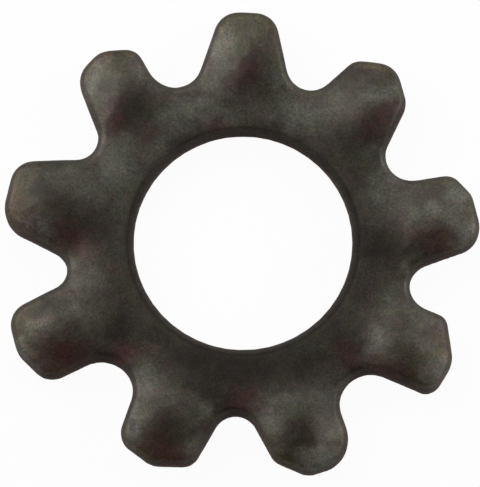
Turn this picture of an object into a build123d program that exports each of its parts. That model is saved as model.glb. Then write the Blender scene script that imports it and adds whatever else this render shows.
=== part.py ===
from build123d import *

import os
from dataclasses import dataclass
from math import cos, exp, hypot, radians, sin, tan

# Toothed lock washer, No. 8 size: one stamped and formed piece of spring steel.
# Millimetres, +Z up. The origin is on the bore's axis, in the plane of the lower seat.

# --- Sheet and ring ---------------------------------------------------------
sheet_thickness = 0.54
bore_diameter = 4.40
bore_edge = 0.12            # bevel of the bore's two rims
seat_radius = 2.75          # of the flat seat coined round the bore, on each face
coin_depth = 0.02           # of each seat below the sheet's face

# --- Teeth ------------------------------------------------------------------
foot_reach = 3.00           # distance from the bore's axis at which the flanks' half widths are given
rolled_edge = 0.15          # rounding of the upper outer rim, on the side the punch entered
level_radius = 2.60         # the forming starts outside this radius
rise_width = 0.90           # and reaches its whole height over this width
form_width = 0.80           # distance from its middle at which a tooth's forming has faded to 37%

# --- Surfaces ---------------------------------------------------------------
grid_margin = 0.20          # width of each formed face beyond the farthest corner of a tooth
grid_steps = 26             # of its grid of heights, along each side
grid_fit = 0.01             # how closely the face follows those heights
blank_height = 6 * sheet_thickness    # taller than the forming, so that both formed faces pass through it

@dataclass
class Tooth:
    """One tooth, in its own axes: across is positive clockwise, out is from the bore's axis."""
    angle: float            # of its middle, degrees clockwise from +Y
    foot: tuple             # half widths at foot_reach: counter-clockwise side, clockwise side
    head: tuple             # corners (across, out, rounding) from the counter-clockwise side
    gap: float              # rounding of the gap that follows it clockwise
    form: tuple             # (across, out, height) of the middle of its forming
    twist: float            # degrees there, clockwise edge up
    pitch: float            # degrees there, tip up

teeth = [
    Tooth(0.5, (1.05, 0.95), ((-0.47, 4.70, 0.48), (0.58, 4.64, 0.46)), 0.51,
          form=(-0.25, 3.75, 0.12), twist=22, pitch=2),
    Tooth(40.5, (0.86, 1.01), ((-0.70, 4.28, 0.35), (0.00, 4.72, 0.48), (0.68, 4.25, 0.34)), 0.54,
          form=(-0.25, 3.55, 0.12), twist=22, pitch=-2),
    Tooth(81.0, (0.64, 1.10), ((-0.70, 4.35, 0.30), (-0.22, 4.66, 0.35), (0.79, 4.73, 0.50)), 0.50,
          form=(-0.18, 4.08, 0.07), twist=21, pitch=-14),
    Tooth(121.0, (0.52, 0.98), ((-0.77, 4.25, 0.25), (-0.05, 4.82, 0.50), (0.73, 4.82, 0.32)), 0.63,
          form=(-0.23, 4.15, 0.05), twist=22, pitch=-14),
    Tooth(160.5, (0.66, 1.09), ((-0.67, 4.88, 0.65), (0.36, 4.84, 0.40), (0.88, 4.36, 0.35)), 0.46,
          form=(-0.25, 4.10, 0.05), twist=22, pitch=-7),
    Tooth(202.0, (0.96, 0.86), ((-0.75, 4.54, 0.36), (0.00, 4.83, 0.50), (0.80, 4.62, 0.36)), 0.65,
          form=(-0.25, 3.95, 0.10), twist=22, pitch=-2),
    Tooth(243.5, (0.80, 0.79), ((-0.80, 4.73, 0.42), (-0.02, 5.00, 0.50), (0.78, 4.84, 0.44)), 0.45,
          form=(-0.25, 3.85, 0.17), twist=20, pitch=6),
    Tooth(281.0, (1.06, 1.09), ((-0.58, 4.82, 0.60), (0.71, 4.77, 0.46)), 0.49,
          form=(-0.25, 3.55, 0.12), twist=22, pitch=14),
    Tooth(320.0, (0.98, 0.58), ((-0.38, 4.75, 0.46), (0.28, 4.81, 0.42), (0.86, 4.37, 0.34)), 0.58,
          form=(-0.15, 4.10, 0.11), twist=22, pitch=-14),
]

def place(tooth, across, out):
    """Point of the plan, from a tooth's own axes."""
    turn = radians(tooth.angle)
    return Vector(across * cos(turn) + out * sin(turn), out * cos(turn) - across * sin(turn))

def meet(a, b, c, d):
    """Point where the line from a through b crosses the line from c through d."""
    along, other = b - a, d - c
    return a + along * ((c - a).cross(other).Z / along.cross(other).Z)

def washer_outline():
    """Corners of the outer outline and their roundings, clockwise from the first tooth."""
    corners, rounds = [], []
    for tooth, following in zip(teeth, teeth[1:] + teeth[:1]):
        for across, out, rounding in tooth.head:
            corners.append(place(tooth, across, out))
            rounds.append(rounding)
        foot = place(tooth, tooth.foot[1], foot_reach)
        next_foot = place(following, -following.foot[0], foot_reach)
        next_corner = place(following, *following.head[0][:2])
        corners.append(meet(corners[-1], foot, next_corner, next_foot))
        rounds.append(tooth.gap)
    return corners, rounds

def forming(tooth, across, out):
    """Height that one tooth's forming gives the sheet, in that tooth's axes."""
    middle_across, middle_out, height = tooth.form
    across -= middle_across
    out -= middle_out
    slope = across * tan(radians(tooth.twist)) + out * tan(radians(tooth.pitch))
    return (height + slope) * exp(-(across ** 2 + out ** 2) / form_width ** 2)

def relief(x, y):
    """Height of the formed sheet above the flat blank, at a point of the plan."""
    height = 0.0
    for tooth in teeth:
        turn = radians(tooth.angle)
        height += forming(tooth, x * cos(turn) - y * sin(turn), x * sin(turn) + y * cos(turn))
    share = (hypot(x, y) - level_radius) / rise_width
    share = min(max(share, 0.0), 1.0)
    return height * share ** 2 * (3 - 2 * share)

def formed_face(base):
    """One face of the formed sheet, over a square larger than the washer."""
    grid_reach = grid_margin + max(out for tooth in teeth for across, out, rounding in tooth.head)
    places = [grid_reach * (2 * step / grid_steps - 1) for step in range(grid_steps + 1)]
    points = [[(x, y, base + relief(x, y)) for y in places] for x in places]
    return Face.make_surface_from_array_of_points(points, tol=grid_fit)

lower_face = formed_face(-coin_depth)
upper_face = formed_face(sheet_thickness - coin_depth)
seat_height = sheet_thickness - 2 * coin_depth

with BuildPart() as lock_washer:
    with BuildSketch(Plane.XY.offset(-blank_height / 2)):
        with BuildLine():
            corners, rounds = washer_outline()
            FilletPolyline(*corners, radius=rounds, close=True)
        make_face()
        Circle(bore_diameter / 2, mode=Mode.SUBTRACT)
    extrude(amount=blank_height)
    split(bisect_by=upper_face, keep=Keep.BOTTOM)
    split(bisect_by=lower_face, keep=Keep.TOP)

    upper = lock_washer.faces().sort_by(SortBy.AREA)[-2:].sort_by(Axis.Z)[1]
    fillet(upper.outer_wire().edges(), radius=rolled_edge)

    for height, way in ((0, Align.MAX), (seat_height, Align.MIN)):
        with Locations((0, 0, height)):
            Cylinder(seat_radius, blank_height, align=(Align.CENTER, Align.CENTER, way), mode=Mode.SUBTRACT)
    seats = lock_washer.faces().filter_by(Plane.XY)
    chamfer([seat.inner_wires()[0].edge() for seat in seats], length=bore_edge)

lock_washer.part.label = "lock_washer"
os.makedirs("parts", exist_ok=True)
export_step(lock_washer.part, "parts/lock_washer.step")
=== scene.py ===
"""Dresses the toothed lock washer: a worn skin over its solid, blackened steel, a pale stage."""

import math

import bpy
import numpy as np
from bpy.props import FloatProperty, FloatVectorProperty, IntProperty, PointerProperty
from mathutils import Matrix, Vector


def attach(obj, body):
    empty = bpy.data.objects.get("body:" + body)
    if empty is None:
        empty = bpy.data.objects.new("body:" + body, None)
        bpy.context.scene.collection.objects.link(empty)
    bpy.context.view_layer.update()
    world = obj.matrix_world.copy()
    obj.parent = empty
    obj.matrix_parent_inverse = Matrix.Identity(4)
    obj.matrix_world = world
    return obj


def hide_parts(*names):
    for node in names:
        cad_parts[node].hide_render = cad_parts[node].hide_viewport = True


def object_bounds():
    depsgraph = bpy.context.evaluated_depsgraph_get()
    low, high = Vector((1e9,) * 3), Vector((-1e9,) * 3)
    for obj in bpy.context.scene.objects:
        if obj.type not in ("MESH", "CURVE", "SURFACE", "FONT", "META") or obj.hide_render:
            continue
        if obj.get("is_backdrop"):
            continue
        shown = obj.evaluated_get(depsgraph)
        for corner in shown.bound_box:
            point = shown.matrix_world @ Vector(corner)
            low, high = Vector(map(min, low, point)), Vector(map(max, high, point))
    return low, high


bl_info = {
    "name": "Toothed lock washer",
    "version": (1, 0, 0),
    "blender": (4, 5, 0),
    "location": "3D View > Sidebar > Washer",
    "description": "A worn, blackened steel lock washer with formed teeth, on a pale stage",
    "category": "Add Mesh",
}

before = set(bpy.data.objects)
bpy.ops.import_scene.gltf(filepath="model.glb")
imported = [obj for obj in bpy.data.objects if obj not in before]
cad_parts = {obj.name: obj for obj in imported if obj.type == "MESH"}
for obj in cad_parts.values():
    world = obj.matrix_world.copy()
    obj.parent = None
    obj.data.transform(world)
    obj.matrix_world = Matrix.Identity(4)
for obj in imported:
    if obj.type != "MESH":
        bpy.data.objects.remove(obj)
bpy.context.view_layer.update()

NODE = "lock_washer"
MM = 0.001
FLAT = (1, 1, 0)            # times a place, leaves its plan


# --- Sizes and colours ------------------------------------------------------

class WasherSkin(bpy.types.PropertyGroup):
    """Fineness and wear of the washer's surface. Lengths are in millimetres."""

    grain: FloatProperty(
        name="Mesh size", default=0.045, min=0.02, max=0.5,
        description="Edge length of the skin's faces, mm")
    smoothing: IntProperty(
        name="Smoothing", default=6, min=0, max=40,
        description="Rounds of smoothing that soften the worn rims")
    seat_radius: FloatProperty(
        name="Seat radius", default=2.75, min=0.0, max=10.0,
        description="Radius of the coined seat, whose edge is rubbed away, mm")
    seat_fade: FloatProperty(
        name="Seat fade", default=0.45, min=0.01, max=2.0,
        description="Distance from the seat's edge over which it is evened out, mm")
    fill: FloatProperty(
        name="Fill", default=0.015, min=0.0, max=0.1,
        description="Gives back what the smoothing takes off the rims, mm")
    swell_depth: FloatProperty(
        name="Swell depth", default=0.008, min=0.0, max=0.1,
        description="Height of the slow unevenness of the worn sheet, mm")
    swell_size: FloatProperty(
        name="Swell size", default=0.55, min=0.05, max=5.0,
        description="Width of one swell, mm")
    pit_depth: FloatProperty(
        name="Pit depth", default=0.005, min=0.0, max=0.05,
        description="Depth of the fine pits, mm")
    pit_size: FloatProperty(
        name="Pit size", default=0.12, min=0.02, max=1.0,
        description="Width of one pit, mm")
    seed: FloatProperty(
        name="Seed", default=3.0, description="Chooses the pattern of swells and pits")


class WasherSteel(bpy.types.PropertyGroup):
    """Colours and gloss of the blackened steel."""

    black: FloatVectorProperty(
        name="Blackened steel", subtype="COLOR", size=3, default=(0.062, 0.055, 0.0415),
        min=0.0, max=1.0, description="Colour of the plain surface")
    olive: FloatVectorProperty(
        name="Olive steel", subtype="COLOR", size=3, default=(0.060, 0.061, 0.038),
        min=0.0, max=1.0, description="Colour of the slow olive clouds in the finish")
    oiled: FloatVectorProperty(
        name="Oiled steel", subtype="COLOR", size=3, default=(0.088, 0.069, 0.034),
        min=0.0, max=1.0, description="Colour towards the teeth's tips, where the old oil is brown")
    plum: FloatVectorProperty(
        name="Plum steel", subtype="COLOR", size=3, default=(0.066, 0.049, 0.043),
        min=0.0, max=1.0, description="Colour of the slow reddish clouds in the finish")
    hue_drift: FloatProperty(
        name="Hue drift", default=1.0, min=0.0, max=1.0, subtype="FACTOR",
        description="Strength of the reddish and olive clouds")
    rust: FloatVectorProperty(
        name="Rust", subtype="COLOR", size=3, default=(0.065, 0.028, 0.026),
        min=0.0, max=1.0, description="Colour of the reddish stains")
    # Soot, and painted shade: in many soot stains, on the rims facing back or right and on the
    # bore's bevel
    soot_and_shade: FloatVectorProperty(
        name="Soot", subtype="COLOR", size=3, default=(0.016, 0.012, 0.008),
        min=0.0, max=1.0, description="Colour of the dark stains and of the steep rims")
    # Rubbed steel, and painted highlights: many rubbed stains stand in for light on the teeth
    rubbed_and_highlight: FloatVectorProperty(
        name="Rubbed steel", subtype="COLOR", size=3, default=(0.150, 0.150, 0.124),
        min=0.0, max=1.0, description="Colour where wear has rubbed the finish thin")
    roughness: FloatProperty(
        name="Roughness", default=0.45, min=0.0, max=1.0, subtype="FACTOR",
        description="Roughness of the plain surface")
    metal: FloatProperty(
        name="Metal", default=0.5, min=0.0, max=1.0, subtype="FACTOR",
        description="How much of the shine is the metal's own")
    grain: FloatProperty(
        name="Grain", default=0.34, min=0.0, max=1.0, subtype="FACTOR",
        description="Strength of the fine light and dark grain")
    motes: FloatProperty(
        name="Motes", default=0.45, min=0.0, max=1.0, subtype="FACTOR",
        description="Strength of the fine changes of hue")
    drift: FloatProperty(
        name="Drift", default=0.16, min=0.0, max=1.0, subtype="FACTOR",
        description="Strength of the slow changes of tone")
    # Darkens the ring towards the bore
    ring_shade: FloatProperty(
        name="Ring shade", default=0.35, min=0.0, max=1.0, subtype="FACTOR",
        description="Dirt on the ring, where a screw's head kept the finish")


class WasherStage(bpy.types.PropertyGroup):
    """Floor, lamps and camera."""

    floor: FloatVectorProperty(
        name="Floor", subtype="COLOR", size=3, default=(0.90, 0.90, 0.90),
        min=0.0, max=1.0, description="Colour of the floor")
    paper: FloatProperty(
        name="Paper white", default=0.96, min=0.0, max=1.0, subtype="FACTOR",
        description="How much of the floor is seen as plain white, the rest shows its shadow")
    left: FloatProperty(
        name="Left lamp", default=0.56, min=0.0, max=20.0,
        description="Strength of the broad lamp on the left")
    back: FloatProperty(
        name="Back lamp", default=0.24, min=0.0, max=20.0,
        description="Strength of the lamp behind the washer")
    right: FloatProperty(
        name="Right lamp", default=0.44, min=0.0, max=20.0,
        description="Strength of the low lamp on the right")
    sky: FloatProperty(
        name="World", default=0.06, min=0.0, max=5.0,
        description="Strength of the even light from all round")
    sky_tint: FloatVectorProperty(
        name="World colour", subtype="COLOR", size=3, default=(1.0, 0.80, 0.76),
        min=0.0, max=1.0, description="Colour of the even light, a little warm")
    elevation: FloatProperty(
        name="Camera elevation", subtype="ANGLE", default=math.radians(79),
        description="Angle of the camera's line of sight above the horizon")


# --- Small helpers ----------------------------------------------------------

def node(tree, kind, at=(0, 0), inputs=(), **values):
    """Adds a node and sets its properties, then links or sets its inputs by name or number."""
    made = tree.nodes.new(kind)
    made.location = at
    for name, value in values.items():
        setattr(made, name, value)
    for key, given in dict(inputs).items():
        if isinstance(given, bpy.types.NodeSocket):
            tree.links.new(given, made.inputs[key])
        else:
            made.inputs[key].default_value = given
    return made


def calc(tree, operation, at, *given):
    """Result of a sum, product or the like of numbers, each of them linked or plain."""
    made = node(tree, "ShaderNodeMath", at, dict(enumerate(given)), operation=operation)
    return made.outputs[0]


def vectors(tree, operation, at, *given):
    """Result of a sum, product or the like of vectors, each of them linked or plain."""
    made = node(tree, "ShaderNodeVectorMath", at, dict(enumerate(given)), operation=operation)
    return made.outputs["Vector"]


def scaled(tree, vector, factor, at):
    """A vector times a number."""
    made = node(tree, "ShaderNodeVectorMath", at, {0: vector, "Scale": factor}, operation="SCALE")
    return made.outputs["Vector"]


def measure(tree, vector, at):
    """Length of a vector."""
    made = node(tree, "ShaderNodeVectorMath", at, {0: vector}, operation="LENGTH")
    return made.outputs["Value"]


def ramp(tree, value, at, start, end, to=(0.0, 1.0), smooth=False):
    """Maps a value: to[0] at the start, to[1] at the end, and held beyond both."""
    made = node(tree, "ShaderNodeMapRange", at, {
        "Value": value, "From Min": start, "From Max": end, "To Min": to[0], "To Max": to[1],
    }, interpolation_type="SMOOTHSTEP" if smooth else "LINEAR")
    return made.outputs["Result"]


def set_input(modifier, tree, name, value):
    """Sets a modifier's input, which is found by its socket's identifier."""
    for item in tree.interface.items_tree:
        if item.item_type == "SOCKET" and item.in_out == "INPUT" and item.name == name:
            modifier[item.identifier] = value
            return
    raise KeyError(name)


def scale_mesh(mesh, factor):
    """Scales a mesh about the origin."""
    places = np.empty(len(mesh.vertices) * 3, np.float32)
    mesh.vertices.foreach_get("co", places)
    mesh.vertices.foreach_set("co", places * factor)
    mesh.update()


# --- Skin -------------------------------------------------------------------

WELD_DISTANCE = 0.0005      # mm, merges the doubles where the solid's faces meet
SOFTENING = 0.5             # share of the way that each round of smoothing moves a point
EVENING_ROUNDS = 60         # of blurring that even out the seat's edge
WEAR_DETAIL = 2.0           # of the noises that make the swells and the pits
NOISE_MIDDLE = 0.5          # taken off a noise, so that it goes both ways

# Inputs of the wear, each named as its setting is.
WEAR_INPUTS = ("Seat radius", "Seat fade", "Fill", "Swell depth", "Swell size",
               "Pit depth", "Pit size", "Seed")


def wear_tree():
    """Geometry nodes that even out the seat's edge and add slow swells and fine pits."""
    tree = bpy.data.node_groups.new("Worn surface", "GeometryNodeTree")
    face = tree.interface
    face.new_socket("Geometry", in_out="INPUT", socket_type="NodeSocketGeometry")
    for name in WEAR_INPUTS:
        face.new_socket(name, in_out="INPUT", socket_type="NodeSocketFloat")
    face.new_socket("Material", in_out="INPUT", socket_type="NodeSocketMaterial")
    face.new_socket("Geometry", in_out="OUTPUT", socket_type="NodeSocketGeometry")
    given = node(tree, "NodeGroupInput", (-900, 0)).outputs

    # The seat's edge, rubbed away: places near it are evened out.
    place = node(tree, "GeometryNodeInputPosition", (-900, 500)).outputs[0]
    plan = vectors(tree, "MULTIPLY", (-700, 500), place, FLAT)
    reach = measure(tree, plan, (-500, 500))
    off = calc(tree, "SUBTRACT", (-300, 500), reach, given["Seat radius"])
    away = calc(tree, "ABSOLUTE", (-100, 500), off)
    near = ramp(tree, away, (100, 500), 0.0, given["Seat fade"], to=(1.0, 0.0), smooth=True)
    evened = node(tree, "GeometryNodeBlurAttribute", (300, 500), {
        "Value": place, "Weight": near, "Iterations": EVENING_ROUNDS,
    }, data_type="FLOAT_VECTOR")
    level = node(tree, "GeometryNodeSetPosition", (500, 300), {
        "Geometry": given["Geometry"], "Position": evened.outputs[0]})

    push = given["Fill"]
    for row, kind in enumerate(("Swell", "Pit")):
        scale = calc(tree, "DIVIDE", (-700, -200 * row), 1.0, given[kind + " size"])
        noise = node(tree, "ShaderNodeTexNoise", (-500, -200 * row), noise_dimensions="4D",
                     inputs={"W": given["Seed"], "Scale": scale, "Detail": WEAR_DETAIL})
        centred = calc(tree, "SUBTRACT", (-300, -200 * row), noise.outputs[0], NOISE_MIDDLE)
        height = calc(tree, "MULTIPLY", (-100, -200 * row), centred, given[kind + " depth"])
        push = calc(tree, "ADD", (100, -200 * row), push, height)

    normal = node(tree, "GeometryNodeInputNormal", (100, -400)).outputs[0]
    move = node(tree, "GeometryNodeSetPosition", (500, 0), {
        "Geometry": level.outputs[0], "Offset": scaled(tree, normal, push, (300, -100))})
    smooth = node(tree, "GeometryNodeSetShadeSmooth", (650, 0), {0: move.outputs[0]})
    real = node(tree, "GeometryNodeRealizeInstances", (800, 0), {0: smooth.outputs[0]})
    paint = node(tree, "GeometryNodeSetMaterial", (950, 0), {
        "Geometry": real.outputs[0], "Material": given["Material"]})
    node(tree, "NodeGroupOutput", (1100, 0), {0: paint.outputs[0]})
    return tree


def solid_copy():
    """Object with the solid's mesh in millimetres, its doubles merged."""
    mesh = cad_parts[NODE].data.copy()
    mesh.name = "worn_washer"
    mesh.materials.clear()
    work = bpy.data.objects.new("worn_washer_work", mesh)
    bpy.context.scene.collection.objects.link(work)
    mesh.transform(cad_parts[NODE].matrix_world)
    scale_mesh(mesh, 1 / MM)
    weld = work.modifiers.new("Weld", "WELD")
    weld.merge_threshold = WELD_DISTANCE
    return work


class WASHER_OT_skin(bpy.types.Operator):
    """Make the worn skin that stands for the washer's solid"""

    bl_idname = "washer.skin"
    bl_label = "Worn washer"

    def execute(self, context):
        settings = context.scene.washer_skin
        work = solid_copy()
        remesh = work.modifiers.new("Even mesh", "REMESH")
        remesh.mode = "VOXEL"
        remesh.voxel_size = settings.grain
        soften = work.modifiers.new("Soften", "SMOOTH")
        soften.iterations = settings.smoothing
        soften.factor = SOFTENING
        tree = wear_tree()
        wear = work.modifiers.new("Wear", "NODES")
        wear.node_group = tree
        for name in WEAR_INPUTS:
            set_input(wear, tree, name, getattr(settings, name.lower().replace(" ", "_")))
        set_input(wear, tree, "Material", blackened_steel(context.scene.washer_steel))

        evaluated = work.evaluated_get(context.evaluated_depsgraph_get())
        mesh = bpy.data.meshes.new_from_object(evaluated)
        bpy.data.objects.remove(work)
        scale_mesh(mesh, MM)
        mesh.name = "worn_washer"
        skin = bpy.data.objects.new("worn_washer", mesh)
        context.scene.collection.objects.link(skin)
        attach(skin, "root")
        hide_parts(NODE)
        return {"FINISHED"}


# --- Steel ------------------------------------------------------------------

# Stains by the colour they have in the finish, laid one colour over the other in this order. The
# soot stains are partly painted shade and the rubbed ones partly painted highlights.
# Each is an oval: middle x, y, half length, half width (mm), turn (degrees), strength.
STAINS = {
    "olive": (
        (2.80, 3.00, 0.90, 0.60, 45, 0.8),
        (-3.70, 1.40, 1.10, 0.50, 10, 0.8),
        (4.20, 0.80, 0.80, 0.60, 0, 0.8),
        (-2.90, 3.20, 0.80, 0.70, 0, 0.6),
        (-3.80, -1.40, 0.90, 0.40, 10, 0.7),
        (0.00, 4.40, 0.80, 0.50, 0, 0.6),
        (2.60, 0.90, 0.60, 0.60, 0, 0.6),
        (-2.50, 1.50, 0.60, 0.60, 0, 0.5),
    ),
    # Rubbed steel, partly painted highlights on the teeth's lit slopes and tips
    "rubbed_and_highlight": (
        (1.15, 2.55, 1.00, 0.55, -35, 0.8),
        (-1.15, 2.55, 1.10, 0.50, 20, 0.8),
        (-0.50, 2.50, 0.90, 0.35, 5, 0.5),
        (0.60, 2.55, 0.70, 0.30, -10, 0.5),
        (-1.65, 1.95, 1.00, 0.35, 40, 0.5),
        (-2.50, 1.50, 1.00, 0.65, 75, 0.8),
        (-3.10, 1.00, 0.50, 0.45, 0, 0.3),
        (-0.45, 3.90, 0.80, 0.30, 80, 0.4),
        (0.65, 3.30, 0.30, 0.40, 0, 0.5),
        (2.85, 2.95, 0.65, 0.30, 20, 0.7),
        (2.75, 1.00, 0.80, 0.50, 75, 0.6),
        (4.30, 0.90, 0.50, 0.55, 0, 0.8),
        (3.85, 0.45, 0.80, 0.40, 0, 0.7),
        (4.40, 0.05, 0.45, 0.50, 0, 1.0),
        (3.00, -1.20, 0.55, 0.35, 60, 0.3),
        (3.50, -1.45, 0.50, 0.30, -20, 0.4),
        (2.60, -2.05, 0.40, 0.55, 0, 0.5),
        (3.35, -2.00, 0.40, 0.50, 0, 0.3),
        (3.85, -2.80, 0.70, 0.55, 70, 1.0),
        (1.60, -3.05, 0.80, 0.30, 25, 0.5),
        (1.75, -3.80, 0.30, 0.50, 0, 0.5),
        (1.50, -4.50, 0.80, 0.60, 20, 1.0),
        (0.55, -3.70, 0.50, 0.35, -65, 0.4),
        (-0.75, -3.45, 0.40, 0.30, 30, 0.5),
        (-1.10, -4.30, 0.60, 0.40, 60, 0.8),
        (-1.40, -3.20, 0.60, 0.30, 0, 0.3),
        (-1.85, -2.80, 0.50, 0.50, 0, 0.6),
        (-2.15, -3.75, 0.70, 0.30, 80, 0.8),
        (-4.30, -2.40, 0.80, 0.50, -50, 1.0),
        (-3.90, -1.90, 0.80, 0.30, 0, 0.4),
        (-3.40, -1.45, 0.35, 0.45, 0, 0.5),
        (-3.15, -0.80, 0.60, 0.40, 10, 0.4),
        (-4.05, 0.30, 0.70, 0.45, -10, 0.8),
        (-3.85, -0.05, 0.50, 0.25, -30, 0.5),
        (-3.10, 3.05, 0.80, 0.30, 70, 0.5),
        (-2.10, 3.40, 0.45, 0.45, 0, 0.3),
        (3.80, -2.95, 0.45, 0.35, 20, 1.0),
        (-4.15, -2.65, 0.50, 0.30, -45, 1.0),
        (-0.70, 3.15, 0.35, 0.30, 0, 0.4),
        (0.95, 2.95, 0.30, 0.40, 0, 0.4),
        (2.60, 1.75, 0.30, 0.35, 0, 0.3),
        (-2.45, 0.85, 0.35, 0.70, 0, 0.35),
        (0.80, -3.15, 0.70, 0.30, 10, 0.4),
        (3.60, 0.25, 0.60, 0.25, 10, 0.7),
        (3.20, -0.60, 0.35, 0.20, 30, 0.4),
        (-2.80, 1.00, 0.30, 0.60, 0, 0.4),
    ),
    # Soot, partly painted shade, such as the darker lower ring and the teeth's shaded slopes
    "soot_and_shade": (
        (0.00, -2.65, 2.90, 1.05, 0, 0.8),
        (1.25, -2.50, 1.00, 0.45, 20, 0.9),
        (-0.95, -2.45, 0.80, 0.60, 10, 0.9),
        (-2.40, -1.80, 0.55, 0.95, 0, 0.8),
        (-2.60, -2.35, 0.80, 0.45, 0, 0.8),
        (2.05, -2.15, 0.65, 0.75, 0, 0.9),
        (-0.15, -3.25, 0.65, 0.60, 0, 0.8),
        (2.70, -0.20, 0.75, 0.70, 0, 0.9),
        (2.35, -1.10, 0.30, 0.70, 0, 0.3),
        (-2.40, -1.10, 0.30, 0.50, 0, 0.3),
        (3.30, -0.25, 0.80, 0.30, 10, 0.5),
        (3.20, -2.80, 0.60, 0.25, -20, 0.5),
        (3.75, -1.90, 0.45, 0.45, 0, 0.5),
        (-4.05, 1.00, 0.75, 0.60, 20, 1.0),
        (-3.60, 1.50, 0.80, 0.25, 10, 0.5),
        (-2.95, 0.15, 0.60, 0.55, 0, 0.6),
        (-3.95, -1.40, 0.85, 0.35, 15, 0.8),
        (-3.35, -2.35, 0.75, 0.40, 5, 0.6),
        (2.25, 3.35, 0.70, 0.35, 15, 0.7),
        (2.95, 2.45, 0.50, 0.50, 0, 1.0),
        (2.15, 2.00, 0.40, 0.70, 0, 0.4),
        (0.00, 3.50, 0.40, 0.80, 0, 0.5),
        (-2.45, 3.65, 0.35, 0.30, 0, 0.6),
        (-2.20, 2.70, 0.50, 0.60, 0, 0.4),
        (-2.65, 3.15, 0.30, 0.30, 0, 0.4),
        (1.10, -3.85, 0.50, 0.65, 0, 0.6),
        (1.85, -3.35, 0.20, 0.45, 0, 0.5),
        (-1.40, -3.95, 0.70, 0.65, 0, 0.5),
        (1.35, 1.70, 0.95, 0.25, -38, 0.8),
        (-2.15, -2.65, 0.35, 0.35, 0, 0.9),
        (-2.25, -3.55, 0.25, 0.35, 0, 0.8),
        (-0.60, -3.80, 0.35, 0.25, 45, 0.5),
        (1.00, -4.35, 0.30, 0.35, 0, 0.6),
        (-4.45, -1.80, 0.30, 0.40, 0, 0.4),
        (-3.90, 1.50, 0.75, 0.22, 0, 0.7),
        (2.60, 3.20, 0.50, 0.35, 20, 0.5),
        (-1.55, -2.00, 0.70, 0.30, -38, 0.5),
        (1.70, -1.85, 0.70, 0.35, 43, 0.5),
        (-3.40, -0.40, 0.30, 0.25, 0, 0.4),
        (1.95, -4.15, 0.25, 0.40, 0, 0.5),
        (-3.20, 0.80, 0.30, 0.25, 0, 0.4),
        (-1.95, -1.95, 0.35, 0.35, 0, 0.5),
        (2.10, -2.50, 0.40, 0.35, 0, 0.8),
        (-1.10, -3.60, 0.30, 0.25, 0, 0.3),
        (0.55, 3.55, 0.30, 0.25, 0, 0.4),
        (4.65, 0.35, 0.20, 0.25, 0, 0.5),
        (0.75, 2.10, 0.60, 0.22, -20, 0.6),
        (-1.20, 1.90, 0.90, 0.20, 32, 0.5),
    ),
    "rust": (
        (0.05, 3.40, 0.50, 0.45, 0, 0.7),
        (-0.55, 2.35, 0.50, 0.25, 0, 0.7),
        (2.80, 2.50, 0.90, 0.45, 35, 0.8),
        (3.70, 0.05, 0.90, 0.45, -10, 0.7),
        (2.05, -2.30, 0.50, 0.55, 0, 0.7),
        (2.85, -2.65, 0.85, 0.40, -20, 0.7),
        (3.85, -2.75, 0.50, 0.45, 30, 0.3),
        (0.00, -3.20, 0.65, 0.45, 30, 0.8),
        (-1.40, -4.30, 0.95, 0.50, -15, 0.9),
        (-3.55, -2.40, 1.05, 0.65, -5, 1.0),
        (-2.35, -2.30, 0.60, 0.50, 0, 1.0),
        (-3.45, 0.05, 0.90, 0.55, -25, 0.8),
        (-2.60, 2.40, 0.55, 0.50, 0, 0.8),
        (-1.90, 2.15, 0.30, 0.40, 0, 0.5),
        (-4.30, 0.40, 0.55, 0.55, 0, 0.5),
    ),
}

# Where each mask starts and where it is whole, and how strong it is there.
TIPS_REACH = (3.7, 4.7)         # mm from the bore's axis: brown oil
RING_REACH = (3.3, 2.3)         # mm from the bore's axis: darker towards the bore
BEVEL_REACH = (2.42, 2.30)      # mm from the bore's axis: painted shade on the bevel
BEVEL_FRONT = (2.0, 1.0)        # mm along Y: the bevel's front part has all of its painted shade
BEVEL_UPPER = (0.2, 0.7)        # Z of the normal: only the upper bevel has it
# Strength of the painted shade on the bevel
BEVEL_PAINTED_SHADE = 0.7
BEVEL_BACK_SHARE = 0.1          # of the bevel's painted shade that its back part keeps
STEEP = (0.95, 0.74)            # Z of the normal: the rims
UPRIGHT = (0.6, 0.1)            # Z of the normal: the cut edges and the bore's wall
BACKWARD = (-0.7, 0.7)          # Y of the normal
# Strength of the painted shade on the rims facing back
BACK_PAINTED_SHADE = 0.55
RIGHTWARD = (0.25, 0.50)        # X of the normal
# Strength of the painted shade on slopes facing right
RIGHT_PAINTED_SHADE = 0.35
EDGE_RUST = 0.6
RIM_ROUGHNESS = 0.75
EDGE_ROUGHNESS = 1.0
RIM_METAL = 0.0

# Noises: scale is in waves to the millimetre.
WAVER = {"Scale": 2.5, "Detail": 3.0}           # makes the patches' edges uneven
WAVER_REACH = (0.6, 0.6, 0.0)                   # mm that it moves them, end to end
CLOUDS = {"Scale": 2.2, "Detail": 3.0, "Roughness": 0.6}
PLUM_CLOUDS = (0.48, 0.68)                      # the noise's values, as for the masks above
OLIVE_CLOUDS = (0.50, 0.32)
GRAIN = {"Scale": 24.0, "Detail": 2.0}
DRIFT = {"Scale": 5.0, "Detail": 2.0}
MOTES = {"Scale": 10.0, "Detail": 2.0}
TONE_SPAN = (0.3, 0.7)                          # the noise's values, from darkest to lightest


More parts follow.
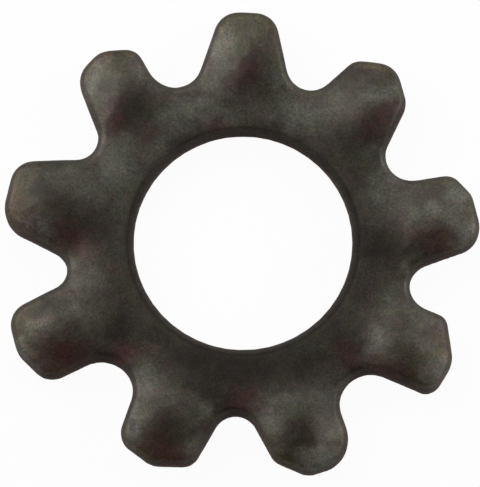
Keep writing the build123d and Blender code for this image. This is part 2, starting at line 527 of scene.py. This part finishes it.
def stain_tree():
    """Shader group: a soft oval spot. Gives its mask at a place in millimetres."""
    tree = bpy.data.node_groups.new("Stain", "ShaderNodeTree")
    face = tree.interface
    for name, kind in (("Place", "Vector"), ("Middle", "Vector"), ("Turn", "Float"),
                       ("Half size", "Vector"), ("Strength", "Float")):
        face.new_socket(name, in_out="INPUT", socket_type="NodeSocket" + kind)
    face.new_socket("Mask", in_out="OUTPUT", socket_type="NodeSocketFloat")
    given = node(tree, "NodeGroupInput", (-900, 0)).outputs
    away = vectors(tree, "SUBTRACT", (-700, 0), given["Place"], given["Middle"])
    turned = node(tree, "ShaderNodeVectorRotate", (-500, 0), {
        "Vector": away, "Angle": given["Turn"]}, rotation_type="Z_AXIS", invert=True)
    share = vectors(tree, "DIVIDE", (-300, 0), turned.outputs[0], given["Half size"])
    fade = ramp(tree, measure(tree, share, (-100, 0)), (100, 0), 1.0, 0.0, smooth=True)
    mask = calc(tree, "MULTIPLY", (300, 0), fade, given["Strength"])
    node(tree, "NodeGroupOutput", (500, 0), {"Mask": mask})
    return tree


def stain_mask(tree, spot, place, stains, top):
    """Strongest of one tone's stains at each place."""
    strongest = None
    for count, (x, y, half_length, half_width, turn, strength) in enumerate(stains):
        height = top - 60 * count
        stain = node(tree, "ShaderNodeGroup", (-900, height), node_tree=spot, inputs={
            "Place": place, "Middle": (x, y, 0), "Turn": math.radians(turn),
            "Half size": (half_length, half_width, 1), "Strength": strength}).outputs[0]
        if strongest is None:
            strongest = stain
        else:
            strongest = calc(tree, "MAXIMUM", (-700, height), strongest, stain)
    return strongest


def toned(tree, colour, tone, mask, at):
    """Mixes a tone into a colour, linked or plain, by a mask."""
    mixed = node(tree, "ShaderNodeMix", at, data_type="RGBA", inputs={
        "Factor": mask, "A": colour, "B": (*tone, 1)})
    return mixed.outputs["Result"]


def patched(tree, finish, plan):
    """Colour of the faces: oiled tips, clouds of hue, listed stains with painted shade and painted
    highlights among them, and the ring darker towards the bore.
    """
    waver = node(tree, "ShaderNodeTexNoise", (-1500, -300), {"Vector": plan, **WAVER})
    centred = vectors(tree, "SUBTRACT", (-1300, -300), waver.outputs["Color"], [NOISE_MIDDLE] * 3)
    uneven = vectors(tree, "MULTIPLY_ADD", (-1100, -150), centred, WAVER_REACH, plan)
    reach = measure(tree, uneven, (-900, 500))

    tips = ramp(tree, reach, (-700, 500), *TIPS_REACH)
    colour = toned(tree, (*finish.black, 1), finish.oiled, tips, (-450, 500))

    clouds = node(tree, "ShaderNodeTexNoise", (-900, 900), {"Vector": plan, **CLOUDS}).outputs[0]
    strength = (0.0, finish.hue_drift)
    plum = ramp(tree, clouds, (-700, 900), *PLUM_CLOUDS, to=strength)
    colour = toned(tree, colour, finish.plum, plum, (-450, 700))
    olive = ramp(tree, clouds, (-700, 1100), *OLIVE_CLOUDS, to=strength)
    colour = toned(tree, colour, finish.olive, olive, (-450, 900))

    spot = stain_tree()
    for row, name in enumerate(STAINS):
        mask = stain_mask(tree, spot, uneven, STAINS[name], 2500 - 1800 * row)
        colour = toned(tree, colour, getattr(finish, name), mask, (-350 + 100 * row, 400))

    # The ring, darker towards the bore
    ring_darkening = ramp(tree, reach, (-700, -900), *RING_REACH, to=(0.0, finish.ring_shade), smooth=True)
    return toned(tree, colour, finish.soot_and_shade, ring_darkening, (-50, 300))


def rim_masks(tree, plan):
    """Masks of the rims: steep, painted shade, rusty and matte.

    The rims facing back get painted shade, and every slope to the right gets a little painted
    shade, which dims the lamps' highlights there. The bore's upper bevel has painted shade and is
    matte, except at its back. The cut edges and the bore's wall are rusty and matte.
    """
    normal = node(tree, "ShaderNodeNewGeometry", (-900, -1200)).outputs["Normal"]
    facing = node(tree, "ShaderNodeSeparateXYZ", (-700, -1200), {0: normal}).outputs
    steep = ramp(tree, facing["Z"], (-500, -1200), *STEEP, smooth=True)
    # Painted shade on the rims that face back, towards the back lamp
    back = ramp(tree, facing["Y"], (-500, -1500), *BACKWARD, to=(0.0, BACK_PAINTED_SHADE))
    back_rim_shade = calc(tree, "MULTIPLY", (-300, -1200), steep, back)

    reach = measure(tree, plan, (-900, -1700))
    # Painted shade on the bore's upper bevel, lighter at its back
    bevel = ramp(tree, reach, (-500, -1800), *BEVEL_REACH, to=(0.0, BEVEL_PAINTED_SHADE), smooth=True)
    upper = ramp(tree, facing["Z"], (-500, -2000), *BEVEL_UPPER)
    upper_bevel = calc(tree, "MULTIPLY", (-300, -1800), bevel, upper)
    side = node(tree, "ShaderNodeSeparateXYZ", (-700, -2300), {0: plan}).outputs
    front = ramp(tree, side["Y"], (-500, -2300), *BEVEL_FRONT, to=(BEVEL_BACK_SHARE, 1.0))
    bevel_painted_shade = calc(tree, "MULTIPLY", (-200, -2000), upper_bevel, front)

    # Painted shade on slopes facing right, towards the right lamp
    right = ramp(tree, facing["X"], (-500, -1100), *RIGHTWARD, to=(0.0, RIGHT_PAINTED_SHADE))
    painted_rim_shade = calc(tree, "MAXIMUM", (-100, -1200), back_rim_shade, bevel_painted_shade)
    painted_rim_shade = calc(tree, "MAXIMUM", (-50, -1400), painted_rim_shade, right)
    rusty = ramp(tree, facing["Z"], (-500, -1350), *UPRIGHT, to=(0.0, EDGE_RUST))
    upright = ramp(tree, facing["Z"], (-500, -1650), *UPRIGHT)
    matte = calc(tree, "MAXIMUM", (-50, -1650), upright, bevel_painted_shade)
    return steep, painted_rim_shade, rusty, matte


def grained(tree, finish, place, colour):
    """Lays the fine grain, the slow drift of tone and the motes of hue over a colour."""
    tones = []
    for row, (pattern, share) in enumerate(((GRAIN, finish.grain), (DRIFT, finish.drift))):
        height = -300 - 300 * row
        noise = node(tree, "ShaderNodeTexNoise", (-400, height), {"Vector": place, **pattern})
        tones.append(ramp(tree, noise.outputs[0], (-200, height), *TONE_SPAN,
                          to=(1 - share, 1 + share)))
    tone = calc(tree, "MULTIPLY", (0, -300), *tones)
    motes = node(tree, "ShaderNodeTexNoise", (-400, -900), {"Vector": place, **MOTES})
    tints = vectors(tree, "MULTIPLY_ADD", (-200, -900), motes.outputs["Color"],
                    [finish.motes] * 3, [1 - finish.motes / 2] * 3)
    return vectors(tree, "MULTIPLY", (500, 100), scaled(tree, colour, tone, (350, 100)), tints)


def blackened_steel(finish):
    """Dark, semi-gloss steel with brown tips, stains with painted shade and painted highlights
    among them, dull rims with painted shade, a ring darker towards the bore and a grain.
    """
    steel = bpy.data.materials.new("blackened_steel")
    steel.use_nodes = True
    tree = steel.node_tree
    source = node(tree, "ShaderNodeTexCoord", (-1900, 0))
    place = scaled(tree, source.outputs["Object"], 1 / MM, (-1700, 0))
    plan = vectors(tree, "MULTIPLY", (-1500, 0), place, FLAT)
    steep, painted_rim_shade, rusty, matte = rim_masks(tree, plan)

    colour = patched(tree, finish, plan)
    # Painted shade on the rims and the bevel, in the soot colour; rust on the cut edges
    colour = toned(tree, colour, finish.soot_and_shade, painted_rim_shade, (150, 200))
    colour = toned(tree, colour, finish.rust, rusty, (250, 200))
    metal = ramp(tree, steep, (350, -500), 0.0, 1.0, to=(finish.metal, RIM_METAL))
    gloss = ramp(tree, steep, (350, -200), 0.0, 1.0, to=(finish.roughness, RIM_ROUGHNESS))
    shader = tree.nodes["Principled BSDF"].inputs
    tree.links.new(grained(tree, finish, place, colour), shader["Base Color"])
    tree.links.new(metal, shader["Metallic"])
    tree.links.new(ramp(tree, matte, (500, -200), 0.0, 1.0, to=(gloss, EDGE_ROUGHNESS)),
                   shader["Roughness"])
    return steel


# --- Stage ------------------------------------------------------------------

FLOOR_HALF = 1.0            # m, half the floor's side

# Lamps: azimuth clockwise from +Y and elevation (degrees), distance and side.
LAMPS = {
    "left": (295, 38, 45 * MM, 36 * MM),
    "back": (0, 38, 45 * MM, 36 * MM),
    "right": (75, 25, 60 * MM, 30 * MM),
}

LENS, SENSOR = 300.0, 36.0  # mm
VIEW_HEIGHT = 9.71          # mm of the washer that the view takes in
LOOK_AT = (-0.060, -0.045, 0.40)    # mm, the middle of the view
NEAREST, FARTHEST = 0.001, 10       # m, the camera's clipping


def lamp(name, strength):
    """A square area lamp that looks at the washer and lights it alike from any distance."""
    azimuth, elevation, distance, side = LAMPS[name]
    data = bpy.data.lights.new(name + "_lamp", "AREA")
    data.shape = "SQUARE"
    data.size = side
    data.energy = strength * math.pi * distance ** 2 * 4
    lit = bpy.data.objects.new(name + "_lamp", data)
    turn, rise = math.radians(azimuth), math.radians(elevation)
    level = math.cos(rise)
    away = Vector((math.sin(turn) * level, math.cos(turn) * level, math.sin(rise)))
    lit.location = away * distance
    lit.rotation_euler = (-away).to_track_quat("-Z", "Y").to_euler()
    bpy.context.scene.collection.objects.link(lit)


def floor_paint(settings):
    """White floor, seen nearly at full white, with the washer's faint shadow on it."""
    paint = bpy.data.materials.new("floor_white")
    paint.use_nodes = True
    tree = paint.node_tree
    shader = tree.nodes["Principled BSDF"]
    shader.inputs["Base Color"].default_value = (*settings.floor, 1)
    shader.inputs["Roughness"].default_value = 1.0
    shader.inputs["Specular IOR Level"].default_value = 0.0
    ray = node(tree, "ShaderNodeLightPath", (-600, 300)).outputs
    seen = calc(tree, "MAXIMUM", (-400, 300), ray["Is Camera Ray"], ray["Is Glossy Ray"])
    seen = calc(tree, "MAXIMUM", (-200, 300), seen, ray["Is Transmission Ray"])
    share = calc(tree, "MULTIPLY", (0, 300), seen, settings.paper)
    paper = node(tree, "ShaderNodeEmission", (0, -300), {"Strength": 1.0})
    mixed = node(tree, "ShaderNodeMixShader", (300, 0), {
        0: share, 1: shader.outputs[0], 2: paper.outputs[0]})
    tree.links.new(mixed.outputs[0], tree.nodes["Material Output"].inputs[0])
    return paint


def lay_floor(settings):
    """A wide floor under the washer's lowest point."""
    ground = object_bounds()[0].z
    corners = [(x * FLOOR_HALF, y * FLOOR_HALF, ground)
               for x, y in ((-1, -1), (1, -1), (1, 1), (-1, 1))]
    mesh = bpy.data.meshes.new("floor")
    mesh.from_pydata(corners, [], [(0, 1, 2, 3)])
    mesh.materials.append(floor_paint(settings))
    floor = bpy.data.objects.new("floor", mesh)
    bpy.context.scene.collection.objects.link(floor)
    floor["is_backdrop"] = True


def light_world(scene, settings):
    """Even, warm light from all round."""
    world = bpy.data.worlds.new("even_light")
    scene.world = world
    world.use_nodes = True
    background = world.node_tree.nodes["Background"]
    background.inputs["Color"].default_value = (*settings.sky_tint, 1)
    background.inputs["Strength"].default_value = settings.sky


def place_camera(scene, settings):
    """A long lens that looks down on the washer, tipped a little towards its lower edge."""
    data = bpy.data.cameras.new("camera")
    data.lens = LENS
    data.sensor_width = SENSOR
    data.clip_start = NEAREST
    data.clip_end = FARTHEST
    camera = bpy.data.objects.new("camera", data)
    scene.collection.objects.link(camera)
    rise = settings.elevation
    back = Vector((0, -math.cos(rise), math.sin(rise)))
    distance = VIEW_HEIGHT * MM * LENS / SENSOR
    camera.location = Vector(LOOK_AT) * MM + back * distance
    camera.rotation_mode = "QUATERNION"
    camera.rotation_quaternion = (-back).to_track_quat("-Z", "Y")
    scene.camera = camera


class WASHER_OT_stage(bpy.types.Operator):
    """Make the floor, the lamps, the even light and the camera"""

    bl_idname = "washer.stage"
    bl_label = "Stage"

    def execute(self, context):
        scene = context.scene
        settings = scene.washer_stage
        lay_floor(settings)
        for name in LAMPS:
            lamp(name, getattr(settings, name))
        light_world(scene, settings)
        place_camera(scene, settings)
        scene.view_settings.view_transform = "Standard"
        return {"FINISHED"}


# --- Add-on -----------------------------------------------------------------

class WASHER_PT_panel(bpy.types.Panel):
    """Lists the washer's piece and its stage"""

    bl_idname = "WASHER_PT_panel"
    bl_label = "Toothed lock washer"
    bl_space_type = "VIEW_3D"
    bl_region_type = "UI"
    bl_category = "Washer"

    def draw(self, context):
        layout = self.layout
        scene = context.scene
        for settings, operator in ((scene.washer_skin, WASHER_OT_skin),
                                   (scene.washer_steel, None),
                                   (scene.washer_stage, WASHER_OT_stage)):
            box = layout.box()
            for name in settings.__annotations__:
                box.prop(settings, name)
            if operator:
                box.operator(operator.bl_idname)


classes = (WasherSkin, WasherSteel, WasherStage, WASHER_OT_skin, WASHER_OT_stage, WASHER_PT_panel)


def register():
    for made in classes:
        bpy.utils.register_class(made)
    bpy.types.Scene.washer_skin = PointerProperty(type=WasherSkin)
    bpy.types.Scene.washer_steel = PointerProperty(type=WasherSteel)
    bpy.types.Scene.washer_stage = PointerProperty(type=WasherStage)


def unregister():
    del bpy.types.Scene.washer_stage
    del bpy.types.Scene.washer_steel
    del bpy.types.Scene.washer_skin
    for made in reversed(classes):
        bpy.utils.unregister_class(made)


def main():
    register()
    bpy.ops.washer.skin()
    bpy.ops.washer.stage()


if __name__ == "__main__":
    main()
